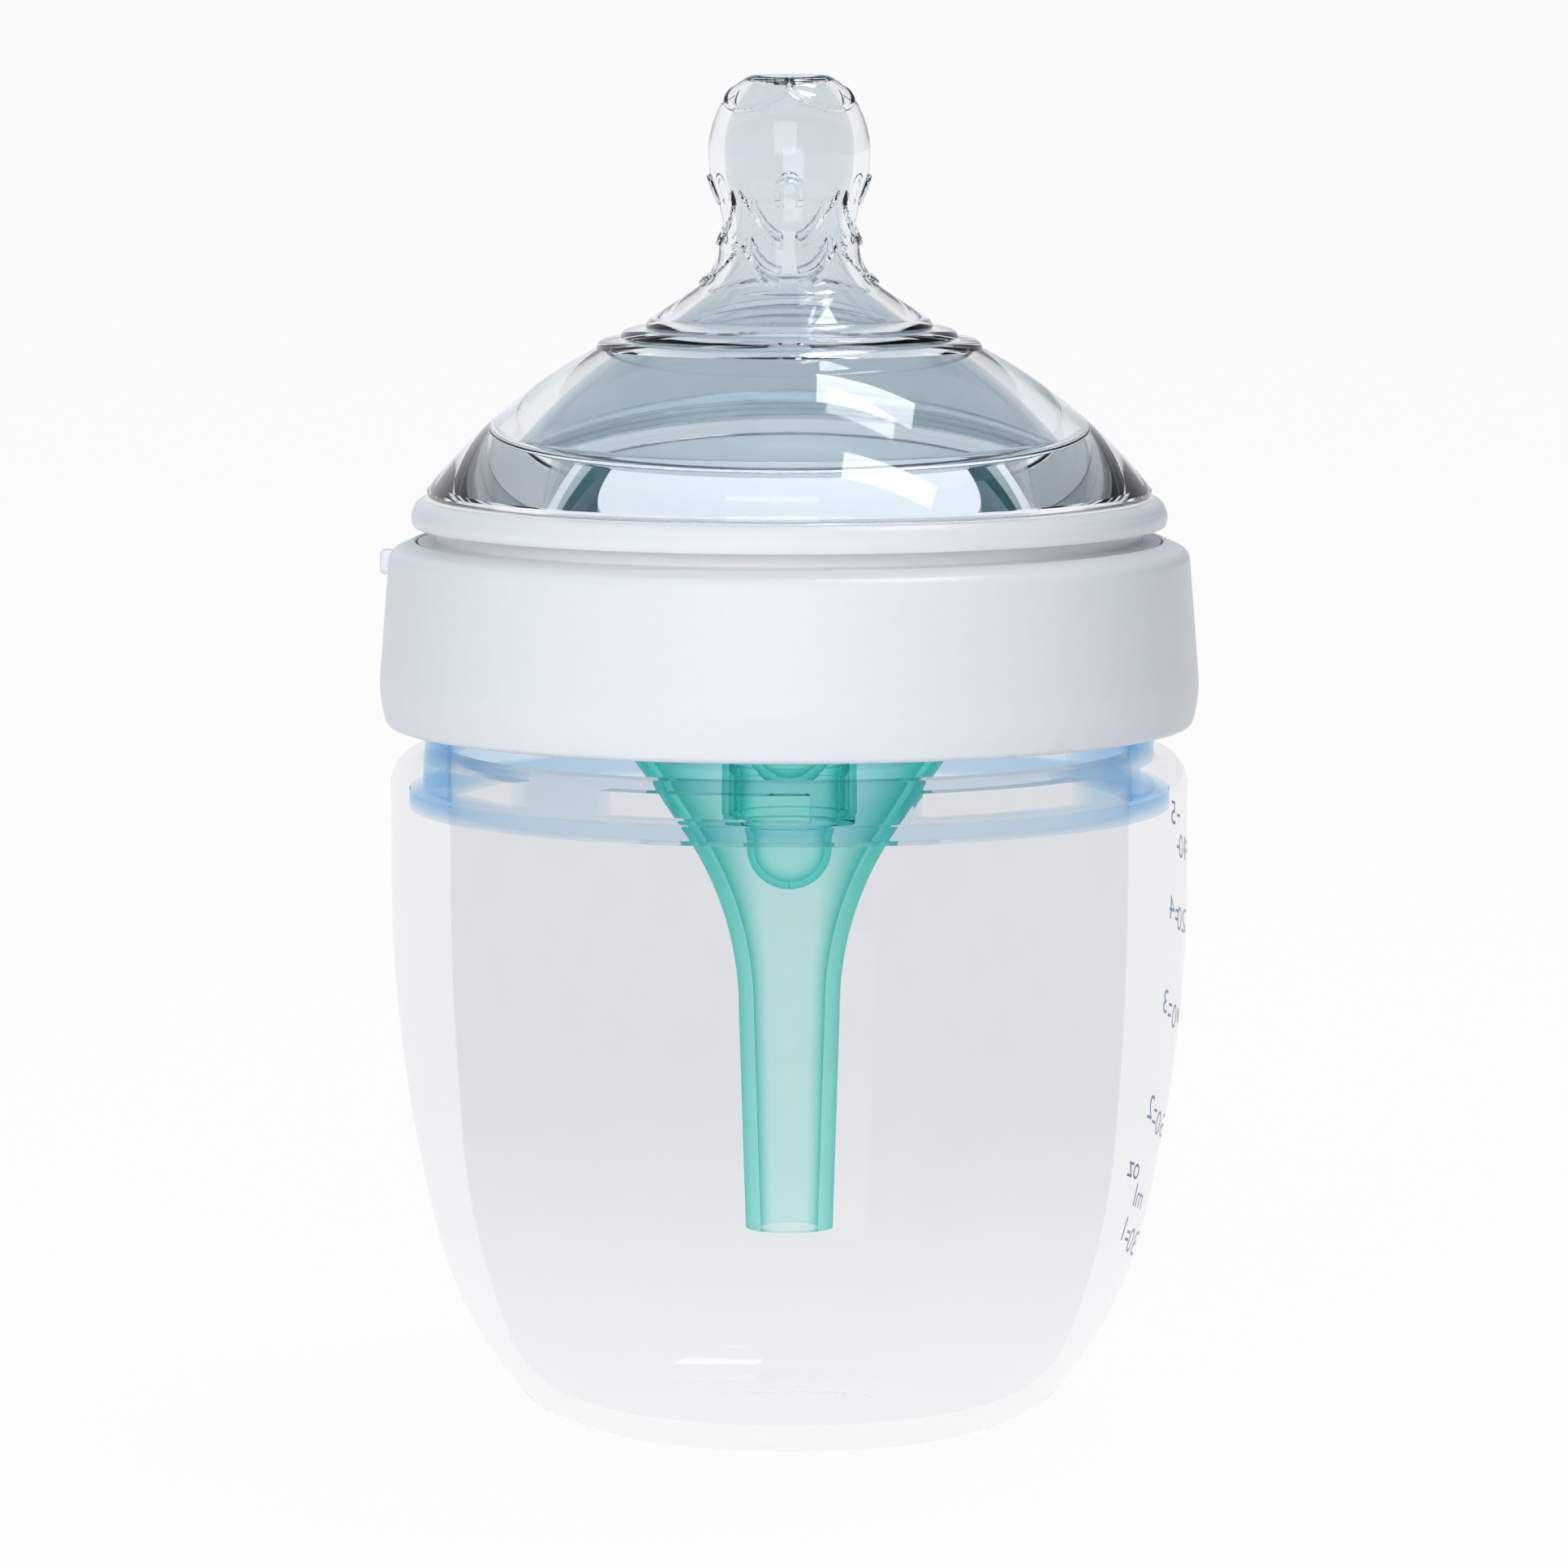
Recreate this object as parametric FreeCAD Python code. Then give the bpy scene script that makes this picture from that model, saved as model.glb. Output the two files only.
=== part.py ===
import FreeCAD, Part
import math
import os

from FreeCAD import Vector

# A 150 ml wide-neck baby bottle. Millimetres, +Z up, origin at the centre of the base.

os.makedirs("parts", exist_ok=True)

# Soft body
body_r = 37.5
belly = ((139.4, 14.0), (37.2, 26.6), (9.34, 49.4))
hollow_r = 31.8
hollow = ((308.6, 5.0), (63.0, 17.0), (8.9, 68.0))
floor_z = 2.4
floor_dome_r = 10.0
floor_dome_h = 1.3
punt_r = 14.5
punt_h = 1.2
shoulder_z = 60.5
shoulder_r = 3.6
fit_gap = 0.1

# Rigid neck ring
neck_r = 34.3
flange_r = 35.6
flange_z = 58.3
flange_t = 1.75
rim_z = 77.6
window_count = 7
window_angle = 34.0
window_z = 60.4
window_h = 2.4
window_first = -103.7

# Screw thread
lead = 5.0
thread_turns = 1.25
thread_z = 70.0
thread_drop = 1.9
thread_root = 1.1
thread_crest = 0.6
neck_crest_r = 35.75
collar_crest_r = 34.8

# Screw collar
collar_z = 66.05
collar_top = 83.45
collar_r = 38.5
collar_bore_r = 36.3
collar_hole_r = 35.1
collar_ceiling = 82.3
lug_r = 38.45
lug_w = 2.6
lug_z = 80.2
lug_h = 2.3

# Teat ring
ring_bore_r = 31.8
ring_seat_r = 33.75
ring_foot_r = 36.0
ring_foot_z = 80.35
ring_neck_r = 34.9
ring_lip_z = 83.25
bead_z = 84.85
bead_top = 87.4

# Teat
teat_foot_r = 33.65
teat_foot_z = 81.25
teat_foot_top = 83.2
teat_waist_r = 31.7
teat_seat_z = 87.45
teat_top = 127.0
teat_hole_r = 0.3
shelf_r = 23.4
shelf_z = 89.9

# Vent
plate_z = 80.0
plate_t = 1.2
plate_r = 33.5
reservoir_flange_r = 34.2
reservoir_flange_t = 1.35
reservoir_r = 17.6
reservoir_wall = 1.4
spigot_r = 31.3
spigot_h = 3.2
tube_end_z = 18.2
tube_end_r = 4.1
tube_top_z = 39.0
tube_top_r = 4.75
flare_r = 30.0
flare_turn = 34.75
port_count = 6
port_in_r = 18.9
port_out_r = 23.1
port_angle = 44.0
sleeve_r = 6.35
sleeve_bore_r = 5.7
sleeve_z = 57.55
hub_r = 7.0
hub_t = 1.2
cup_r = 4.2
cup_wall = 0.8
cup_z = 60.2
duct_w = 2.0
duct_h = 0.7
duct_wall = 0.8
valve_r = 4.0
valve_wall = 0.65
valve_centre = 54.4
valve_flange_r = 6.2
valve_flange_z = 56.6
valve_stem_r = 5.25
valve_stem_bore = 4.6
valve_stem_top = 62.3
slit_w = 0.1
slit_l = 3.4
seal_t = 1.0


class Outline:
    """Half section in the XZ plane, drawn point by point and spun round Z."""

    def __init__(self, r, z, heading=0.0):
        self.edges = []
        self.start = Vector(r, 0, z)
        self.here = self.start
        self.heading = math.radians(heading)

    def line(self, r, z):
        end = Vector(r, 0, z)
        self.edges.append(Part.LineSegment(self.here, end).toShape())
        self.heading = math.atan2(end.z - self.here.z, end.x - self.here.x)
        self.here = end
        return self

    def go(self, length):
        r = self.here.x + length * math.cos(self.heading)
        z = self.here.z + length * math.sin(self.heading)
        return self.line(r, z)

    def arc(self, mid, end):
        mid = Vector(mid[0], 0, mid[1])
        end = Vector(end[0], 0, end[1])
        self.edges.append(Part.Arc(self.here, mid, end).toShape())
        self.here = end
        return self

    def turn(self, radius, angle):
        """Arc tangent to the last stretch; a positive angle turns to the left."""
        side = math.copysign(1.0, angle)
        centre_r = self.here.x - side * radius * math.sin(self.heading)
        centre_z = self.here.z + side * radius * math.cos(self.heading)
        points = []
        for part in (0.5, 1.0):
            h = self.heading + math.radians(angle) * part
            points.append((centre_r + side * radius * math.sin(h),
                           centre_z - side * radius * math.cos(h)))
        self.heading += math.radians(angle)
        return self.arc(points[0], points[1])

    def cap(self, r, z, dome):
        """Slice of a ball on the axis: from the axis out to a rim, or from the rim in."""
        rim = max(r, self.here.x)
        ball = (rim * rim + dome * dome) / (2 * dome)
        half = math.asin(rim / ball) / 2
        top = z if r == 0 else self.here.z
        return self.arc((ball * math.sin(half), top - ball * (1 - math.cos(half))), (r, z))

    def spin(self):
        if self.here.distanceToPoint(self.start) > 1e-6:
            self.edges.append(Part.LineSegment(self.here, self.start).toShape())
        face = Part.Face(Part.Wire(self.edges))
        solid = face.revolve(Vector(0, 0, 0), Vector(0, 0, 1), 360)
        return Part.Solid(solid) if solid.ShapeType == "Shell" else solid


def pipe(inner, outer, z0, z1):
    """Plain round tube; an inner radius of 0 gives a rod."""
    solid = Part.makeCylinder(outer, z1 - z0, Vector(0, 0, z0))
    if inner > 0:
        solid = solid.cut(Part.makeCylinder(inner, z1 - z0, Vector(0, 0, z0)))
    return solid


def sector(inner, outer, z0, z1, centre, angle):
    """Piece of a tube, centred on an angle about Z."""
    section = Part.Wire(Part.makePolygon([
        Vector(inner, 0, z0), Vector(outer, 0, z0),
        Vector(outer, 0, z1), Vector(inner, 0, z1), Vector(inner, 0, z0)]))
    solid = Part.Face(section).revolve(Vector(0, 0, 0), Vector(0, 0, 1), angle)
    solid.rotate(Vector(0, 0, 0), Vector(0, 0, 1), centre - angle / 2)
    return solid


def thread(wall_r, crest_r, z0):
    """Ridge of one trapezium section that climbs by the lead in each turn."""
    root_r = wall_r + math.copysign(0.3, wall_r - crest_r)
    helix = Part.makeHelix(lead, lead * thread_turns, wall_r)
    section = Part.Wire(Part.makePolygon([
        Vector(root_r, 0, -thread_root), Vector(crest_r, 0, -thread_crest),
        Vector(crest_r, 0, thread_crest), Vector(root_r, 0, thread_root),
        Vector(root_r, 0, -thread_root)]))
    ridge = Part.Wire(helix).makePipeShell([section], True, True)
    ridge.translate(Vector(0, 0, z0))
    return ridge


def drop_of(arcs):
    """Height taken by tangent arcs that turn from upright to level."""
    total = 0.0
    turned = 0.0
    for radius, angle in arcs:
        total += radius * (math.sin(math.radians(turned + angle)) - math.sin(math.radians(turned)))
        turned += angle
    return total


def reach_of(arcs):
    """Width taken by the same arcs."""
    total = 0.0
    turned = 0.0
    for radius, angle in arcs:
        total += radius * (math.cos(math.radians(turned)) - math.cos(math.radians(turned + angle)))
        turned += angle
    return total


def save(name, shape):
    solid = shape.removeSplitter()
    if len(solid.Solids) != 1 or not solid.isValid():
        raise RuntimeError("%s: %d solids, valid %s" % (name, len(solid.Solids), solid.isValid()))
    solid.Solids[0].exportStep("parts/%s.step" % name)
    box = solid.BoundBox
    print("%-15s z %.2f to %.2f  volume %.0f" % (name, box.ZMin, box.ZMax, solid.Volume))


window_step = 360.0 / window_count
window_centres = [window_first + window_step * i for i in range(window_count)]
port_centres = [360.0 / port_count * i for i in range(port_count)]
air_angle = 360.0 / port_count / 2

# Body: three tangent arcs from the foot to the belly, a rounded lip, and a hollow of its own arcs
bore_r = neck_r + fit_gap
groove_r = flange_r + fit_gap
groove_top = flange_z + flange_t + fit_gap
lip_turn = math.degrees(math.acos((bore_r - body_r + shoulder_r) / shoulder_r))
body = Outline(0, punt_h)
body.cap(punt_r, 0, punt_h)
body.line(body_r - reach_of(belly), 0)
for radius, angle in reversed(belly):
    body.turn(radius, angle)
body.line(body_r, shoulder_z)
body.turn(shoulder_r, lip_turn)
body.line(bore_r, groove_top)
body.line(groove_r, groove_top)
body.line(groove_r, flange_z - fit_gap)
body.line(hollow_r, flange_z - fit_gap)
body.line(hollow_r, floor_z + drop_of(hollow))
for radius, angle in hollow:
    body.turn(radius, -angle)
body.line(floor_dome_r, floor_z)
body.cap(0, floor_z + floor_dome_h, floor_dome_h)
body = body.spin()
key_angle = window_angle - math.degrees(2 * fit_gap / neck_r)
for centre in window_centres:
    key = sector(hollow_r, neck_r + 0.4, window_z + fit_gap, window_z + window_h - fit_gap,
                 centre, key_angle)
    body = body.fuse(key)
save("bottle_body", body)

# Neck ring: bore, flange, windows for the keys of the body, and the outside thread
neck = Outline(hollow_r, flange_z, 0)
neck.line(flange_r, flange_z)
neck.line(flange_r, flange_z + flange_t)
neck.line(neck_r, flange_z + flange_t)
neck.line(neck_r, rim_z - 0.5)
neck.turn(0.5, 90)
neck.line(hollow_r, rim_z)
neck = neck.spin()
for centre in window_centres:
    neck = neck.cut(sector(hollow_r - 1, neck_r + 1, window_z, window_z + window_h,
                           centre, window_angle))
neck = neck.fuse(thread(neck_r, neck_crest_r, thread_z))
save("neck_ring", neck)

# Collar: tapered skirt, sloping shoulder, open top and the inside thread
collar = Outline(collar_bore_r, collar_z + 0.5, -90)
collar.arc((collar_bore_r + 0.15, collar_z + 0.15), (collar_bore_r + 0.5, collar_z))
collar.line(collar_r - 1.3, collar_z)
collar.arc((collar_r - 0.75, collar_z + 0.2), (collar_r - 0.5, collar_z + 0.6))
collar.arc((collar_r - 0.06, collar_z + 2.8), (collar_r, collar_z + 4.6))
collar.line(collar_r - 0.85, collar_top - 1.85)
collar.arc((collar_r - 1.15, collar_top - 1.05), (collar_r - 1.8, collar_top - 0.62))
collar.line(collar_hole_r + 0.25, collar_top)
collar.arc((collar_hole_r + 0.07, collar_top - 0.07), (collar_hole_r, collar_top - 0.25))
collar.line(collar_hole_r, collar_ceiling)
collar.line(collar_bore_r, collar_ceiling)
collar = collar.spin()
lug = Part.makeBox(3.0, lug_w, lug_h, Vector(-lug_r, -lug_w / 2, lug_z))
lug = lug.makeFillet(0.45, [e for e in lug.Edges if e.CenterOfMass.x < -lug_r + 0.1])
lug = lug.cut(pipe(0, collar_bore_r + 0.4, lug_z - 1, lug_z + lug_h + 1))
collar = collar.fuse(lug)
collar = collar.fuse(thread(collar_bore_r, collar_crest_r, thread_z - thread_drop))
save("collar", collar)

# Teat ring: foot under the collar, bead above it, lip over the teat's own foot
ring = Outline(ring_bore_r, ring_lip_z, 0)
ring.line(ring_seat_r, ring_lip_z)
ring.line(ring_seat_r, ring_foot_z)
ring.line(ring_foot_r, ring_foot_z)
ring.line(ring_foot_r, collar_ceiling - 0.1)
ring.line(ring_neck_r, collar_ceiling - 0.1)
ring.line(ring_neck_r, bead_z)
ring.line(ring_neck_r + 0.4, bead_z)
ring.arc((ring_neck_r + 0.62, bead_z + 0.75), (ring_neck_r + 0.4, bead_z + 1.6))
ring.arc((ring_neck_r + 0.02, bead_z + 2.25), (ring_neck_r - 0.7, bead_top))
ring.line(ring_bore_r, bead_top)
save("teat_ring", ring.spin())

# Teat: foot, dome, three steps, waist and bulb, then back down the inside
teat = Outline(shelf_r + 1.1, teat_foot_z, 0)
teat.line(teat_foot_r, teat_foot_z)
teat.line(teat_foot_r, teat_foot_top)
teat.line(teat_waist_r, teat_foot_top)
teat.line(teat_waist_r, teat_seat_z)
teat.line(33.55, teat_seat_z)
teat.turn(0.5, 90)
teat.line(34.05, 88.2)
teat.arc((27.95, 94.65), (18.15, 101.45))
teat.arc((17.75, 102.1), (17.1, 102.35))
teat.line(15.9, 102.5)
teat.arc((15.5, 103.08), (14.9, 103.35))
teat.line(13.5, 103.5)
teat.arc((13.25, 104.0), (12.8, 104.35))
teat.line(8.95, 106.9)
teat.arc((7.3, 108.7), (6.6, 111.0))
teat.arc((6.37, 113.3), (6.75, 115.6))
teat.arc((7.6, 119.3), (6.45, 124.2))
teat.arc((5.5, 125.6), (4.3, 126.55))
teat.arc((3.75, 126.87), (3.1, teat_top))
teat.line(teat_hole_r, teat_top)
teat.line(teat_hole_r, 125.7)
teat.line(3.5, 125.7)
teat.arc((5.2, 123.7), (6.05, 120.6))
teat.arc((6.0, 118.4), (5.25, 115.4))
teat.arc((5.0, 113.2), (5.15, 110.8))
teat.arc((5.75, 108.2), (7.3, 106.0))
teat.line(11.6, 102.6)
teat.arc((19.3, 97.4), (25.4, 91.4))
teat.arc((25.3, 90.4), (24.6, shelf_z))
teat.line(shelf_r + 0.6, shelf_z)
teat.arc((shelf_r + 0.1, shelf_z - 0.25), (shelf_r, shelf_z - 0.8))
save("teat", teat.spin())

# Vent reservoir: flange with milk ports, centring spigot, funnel and long tube
top_z = plate_z - reservoir_flange_t
tube_in_r = tube_end_r - reservoir_wall
funnel = Outline(tube_in_r, tube_end_z, 0)
funnel.line(tube_end_r, tube_end_z)
funnel.line(tube_top_r, tube_top_z)
funnel.heading = math.radians(90)
funnel.turn(flare_r, -flare_turn)
funnel.go(11.0)
funnel.arc((reservoir_r - 0.35, 67.0), (reservoir_r, 69.0))
funnel.line(reservoir_r, plate_z)
funnel.line(reservoir_r - reservoir_wall, plate_z)
funnel.line(reservoir_r - reservoir_wall, 69.3)
rise = math.radians(flare_turn)
flare_end_r = tube_top_r - reservoir_wall + (flare_r + reservoir_wall) * (1 - math.cos(rise))
flare_end_z = tube_top_z + (flare_r + reservoir_wall) * math.sin(rise)
funnel.arc((reservoir_r - reservoir_wall - 0.3, 67.6),
           (flare_end_r + 10.6 * math.sin(rise), flare_end_z + 10.6 * math.cos(rise)))
funnel.line(flare_end_r, flare_end_z)
half = rise / 2
funnel.arc((tube_top_r - reservoir_wall + (flare_r + reservoir_wall) * (1 - math.cos(half)),
            tube_top_z + (flare_r + reservoir_wall) * math.sin(half)),
           (tube_top_r - reservoir_wall, tube_top_z))
reservoir = funnel.spin()
reservoir = reservoir.fuse(pipe(reservoir_r - 0.4, reservoir_flange_r, top_z, plate_z))
reservoir = reservoir.fuse(pipe(spigot_r - 1.1, spigot_r, top_z - spigot_h, top_z + 0.2))
for centre in port_centres:
    reservoir = reservoir.cut(sector(port_in_r, port_out_r, top_z - 1, plate_z + 1,
                                     centre, port_angle))
save("vent_reservoir", reservoir)

# Vent plate: closed disc with matching milk ports, and two air ducts under it from the rim to the hub
plate_top = plate_z + plate_t
plate = pipe(0, plate_r, plate_z, plate_top)
for side in (0, 180):
    duct = Part.makeBox(reservoir_r - reservoir_wall - 0.3, duct_w + 2 * duct_wall, 2.0,
                        Vector(0, -duct_w / 2 - duct_wall, plate_z - 1.6))
    duct.rotate(Vector(0, 0, 0), Vector(0, 0, 1), air_angle + side)
    duct = duct.cut(pipe(0, hub_r + fit_gap, plate_z - 3, plate_z))
    plate = plate.fuse(duct)
    slot = Part.makeBox(plate_r + 1, duct_w, 2 * duct_h, Vector(0, -duct_w / 2, plate_z - duct_h))
    slot.rotate(Vector(0, 0, 0), Vector(0, 0, 1), air_angle + side)
    plate = plate.cut(slot)
for centre in port_centres:
    plate = plate.cut(sector(port_in_r, port_out_r, plate_z - 1, plate_top + 1, centre, port_angle))
save("vent_plate", plate)

# Vent sleeve: hub under the plate with two air notches, and the cup inside
cup_in_r = cup_r - cup_wall
hub_top = plate_z - 0.05
hub_z = hub_top - hub_t
sleeve = pipe(sleeve_bore_r, sleeve_r, sleeve_z, hub_top)
sleeve = sleeve.fuse(pipe(cup_in_r, hub_r, hub_z, hub_top))
for side in (0, 180):
    notch = Part.makeBox(sleeve_bore_r - cup_r - 0.2, duct_w, hub_t + 2,
                         Vector(cup_r + 0.1, -duct_w / 2, hub_z - 1))
    notch.rotate(Vector(0, 0, 0), Vector(0, 0, 1), air_angle + side)
    sleeve = sleeve.cut(notch)
cup = Outline(0, cup_z, 0)
cup.turn(cup_r, 90)
cup.line(cup_r, hub_top)
cup.line(cup_in_r, hub_top)
cup.line(cup_in_r, cup_z + cup_r)
cup.heading = math.radians(-90)
cup.turn(cup_in_r, -90)
sleeve = sleeve.fuse(cup.spin())
save("vent_sleeve", sleeve)

# Vent valve: stem in the sleeve, flange below it, and a slit dome
valve = Outline(0, valve_centre - valve_r, 0)
valve.turn(valve_r, 90)
valve.line(valve_r, valve_centre + 1.0)
valve.line(valve_r + 0.4, valve_flange_z)
valve.line(valve_flange_r - 0.3, valve_flange_z)
valve.turn(0.3, 90)
valve.line(valve_flange_r, sleeve_z - 0.05)
valve.line(valve_stem_r, sleeve_z - 0.05)
valve.line(valve_stem_r, valve_stem_top - 1.2)
valve.line(sleeve_bore_r - 0.05, valve_stem_top - 0.5)
valve.line(sleeve_bore_r - 0.05, valve_stem_top)
valve.line(valve_stem_bore + 0.3, valve_stem_top)
valve.line(valve_stem_bore, valve_stem_top - 1.2)
valve.line(valve_stem_bore, valve_flange_z + 0.3)
valve.line(valve_r - valve_wall, valve_centre + 1.2)
valve.line(valve_r - valve_wall, valve_centre)
valve.heading = math.radians(-90)
valve.turn(valve_r - valve_wall, -90)
valve = valve.spin()
for turn in (0, 90):
    slit = Part.makeBox(slit_l, slit_w, 2.0,
                        Vector(-slit_l / 2, -slit_w / 2, valve_centre - valve_r - 0.5))
    slit.rotate(Vector(0, 0, 0), Vector(0, 0, 1), turn)
    valve = valve.cut(slit)
save("vent_valve", valve)

# Rim seal: flat washer between the reservoir flange and the neck rim
save("rim_seal", pipe(hollow_r + 0.1, reservoir_flange_r - 0.2, top_z - seal_t, top_z))
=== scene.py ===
# %% [markdown]
# A baby bottle with a clear soft body, a rigid neck ring, a white collar, a clear teat and an air vent.
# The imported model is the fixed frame. The pieces could be drawn freely by eye, but they wouldn't fit
# the joints, so the frame is loaded first and every visible piece has its size and place from it.

# %% Load the frame
import math

import bmesh
import bpy
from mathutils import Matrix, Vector


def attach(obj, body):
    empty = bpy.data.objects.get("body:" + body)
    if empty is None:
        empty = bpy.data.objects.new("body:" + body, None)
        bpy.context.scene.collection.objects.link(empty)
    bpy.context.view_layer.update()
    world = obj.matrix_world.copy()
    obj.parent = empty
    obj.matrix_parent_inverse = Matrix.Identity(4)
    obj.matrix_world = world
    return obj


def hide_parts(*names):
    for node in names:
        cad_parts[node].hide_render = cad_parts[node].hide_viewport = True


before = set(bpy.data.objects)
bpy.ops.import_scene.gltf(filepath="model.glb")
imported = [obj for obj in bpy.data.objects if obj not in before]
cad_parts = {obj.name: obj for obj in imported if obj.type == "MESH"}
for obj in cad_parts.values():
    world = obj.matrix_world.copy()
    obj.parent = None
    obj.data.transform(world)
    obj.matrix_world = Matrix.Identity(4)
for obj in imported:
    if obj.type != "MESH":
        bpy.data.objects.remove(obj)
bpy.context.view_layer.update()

# %% [markdown]
# The photo looks a little down on the bottle from about 0.87 m away with a long lens. A camera could be
# set by eye. Here the ellipses of the rings gave its tilt and distance, because a long lens keeps rings
# nearly flat and a small error shows. Everything after this is judged through it.

# %% Camera
frame_px = 1932
mm = 0.001
mm_per_px = 0.0765
camera_distance = 872.1 * mm
camera_tilt = math.radians(6.07)
sensor_mm = 36
aim = Vector((-0.5 * mm, 0, 60.3 * mm))

camera_data = bpy.data.cameras.new("photo_camera")
camera_data.sensor_width = sensor_mm
camera_data.lens = sensor_mm * camera_distance / (frame_px * mm_per_px * mm)
camera = bpy.data.objects.new("photo_camera", camera_data)
bpy.context.collection.objects.link(camera)
camera.location = aim + camera_distance * Vector((0, -math.cos(camera_tilt), math.sin(camera_tilt)))
camera.rotation_euler = (aim - camera.location).to_track_quat("-Z", "Y").to_euler()
bpy.context.scene.camera = camera
print("lens %.0f mm" % camera_data.lens)

# %% [markdown]
# Nearly every piece of a bottle is round, so it can be drawn as a half section and spun round the axis.
# A Bezier curve could hold the section. A small outline class was chosen because it keeps plain
# millimetres and samples its arcs finely: clear walls show every flat facet.

# %% Outline helper
edge_hold = 0.06


class Outline:
    """Half section of a round piece: a list of (radius, height) in millimetres.

    A line has points close to both its ends, which hold its edges crisp under smooth shading.
    """

    def __init__(self, r, z, heading=0.0, step=0.5):
        self.points = [(r, z)]
        self.heading = math.radians(heading)
        self.step = step

    def line(self, r, z):
        r0, z0 = self.points[-1]
        length = math.hypot(r - r0, z - z0)
        self.heading = math.atan2(z - z0, r - r0)
        hold = min(edge_hold, length / 4)
        cuts = max(1, int(length / (3 * self.step)))
        stops = [hold] + [length * k / cuts for k in range(1, cuts)] + [length - hold, length]
        for stop in stops:
            self.points.append((r0 + (r - r0) * stop / length, z0 + (z - z0) * stop / length))
        return self

    def sweep(self, centre, radius, start, angle):
        count = max(6, int(abs(angle) * radius / self.step), int(math.degrees(abs(angle)) / 4))
        for k in range(1, count + 1):
            a = start + angle * k / count
            self.points.append((centre[0] + radius * math.cos(a), centre[1] + radius * math.sin(a)))
        return self

    def arc(self, mid, end):
        (ax, ay), (bx, by), (cx, cy) = self.points[-1], mid, end
        d = 2 * (ax * (by - cy) + bx * (cy - ay) + cx * (ay - by))
        ux = ((ax**2 + ay**2) * (by - cy) + (bx**2 + by**2) * (cy - ay) + (cx**2 + cy**2) * (ay - by)) / d
        uy = ((ax**2 + ay**2) * (cx - bx) + (bx**2 + by**2) * (ax - cx) + (cx**2 + cy**2) * (bx - ax)) / d
        start = math.atan2(ay - uy, ax - ux)
        turn = math.atan2(cy - uy, cx - ux) - start
        side = 1 if (bx - ax) * (cy - ay) - (by - ay) * (cx - ax) > 0 else -1
        turn = turn % (2 * math.pi) if side > 0 else -((-turn) % (2 * math.pi))
        self.heading = start + turn + side * math.pi / 2
        return self.sweep((ux, uy), math.hypot(ax - ux, ay - uy), start, turn)

    def turn(self, radius, angle):
        r, z = self.points[-1]
        side = 1 if angle > 0 else -1
        centre = (r - side * radius * math.sin(self.heading), z + side * radius * math.cos(self.heading))
        start = self.heading - side * math.pi / 2
        self.heading += math.radians(angle)
        return self.sweep(centre, radius, start, math.radians(angle))


print("a quarter turn of radius 1 ends at", Outline(0, 0).turn(1, 90).points[-1])

# %% [markdown]
# Every mesh needs the same last steps: outward normals, smooth shading that keeps hard edges, a finish,
# and the body of the frame that it rides on. They could be done piece by piece in the interface. One
# helper does them here, so that no piece misses a step.

# %% Mesh helper
sharp_angle = 34


def finish_mesh(name, bm, body, material):
    bmesh.ops.recalc_face_normals(bm, faces=bm.faces)
    mesh = bpy.data.meshes.new(name)
    bm.to_mesh(mesh)
    bm.free()
    for polygon in mesh.polygons:
        polygon.use_smooth = True
    mesh.set_sharp_from_angle(angle=math.radians(sharp_angle))
    mesh.materials.append(material)
    obj = bpy.data.objects.new(name, mesh)
    bpy.context.collection.objects.link(obj)
    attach(obj, body)
    print("%s: %d points" % (name, len(mesh.vertices)))
    return obj


print("edges stay sharp above", sharp_angle, "degrees")

# %% [markdown]
# A Screw modifier can spin a section. Spinning in mesh code was chosen because single points can then
# be pushed in or out, which is how the ribs of the teat are made. A point on the axis becomes one
# vertex, so domes close without a hole.

# %% Spin helper
def even_angles(count):
    return [2 * math.pi * i / count for i in range(count)]


def spin_into(bm, points, angles, push=None):
    rings = []
    for index, (r, z) in enumerate(points):
        if r < 1e-6:
            rings.append([bm.verts.new((0, 0, z * mm))])
            continue
        ring = []
        for a in angles:
            out = r + (push(index, r, z, a) if push else 0)
            ring.append(bm.verts.new((out * math.cos(a) * mm, out * math.sin(a) * mm, z * mm)))
        rings.append(ring)
    count = len(angles)
    for low, high in zip(rings, rings[1:] + rings[:1]):
        if len(low) == 1 and len(high) == 1:
            continue
        for i in range(count):
            j = (i + 1) % count
            if len(low) == 1:
                bm.faces.new((low[0], high[i], high[j]))
            elif len(high) == 1:
                bm.faces.new((low[i], high[0], low[j]))
            else:
                bm.faces.new((low[i], high[i], high[j], low[j]))


print("eight strips start with", even_angles(8)[:2])

# %% [markdown]
# Rings with windows can't be spun whole. Booleans could cut the windows, but they leave long thin faces
# that show in clear plastic. The ring is laid out as blocks of a polar grid instead, and a face is made
# only where a filled block meets an empty one.

# %% Block helper
corners = ((0, 0), (0, 1), (1, 1), (1, 0))


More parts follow.
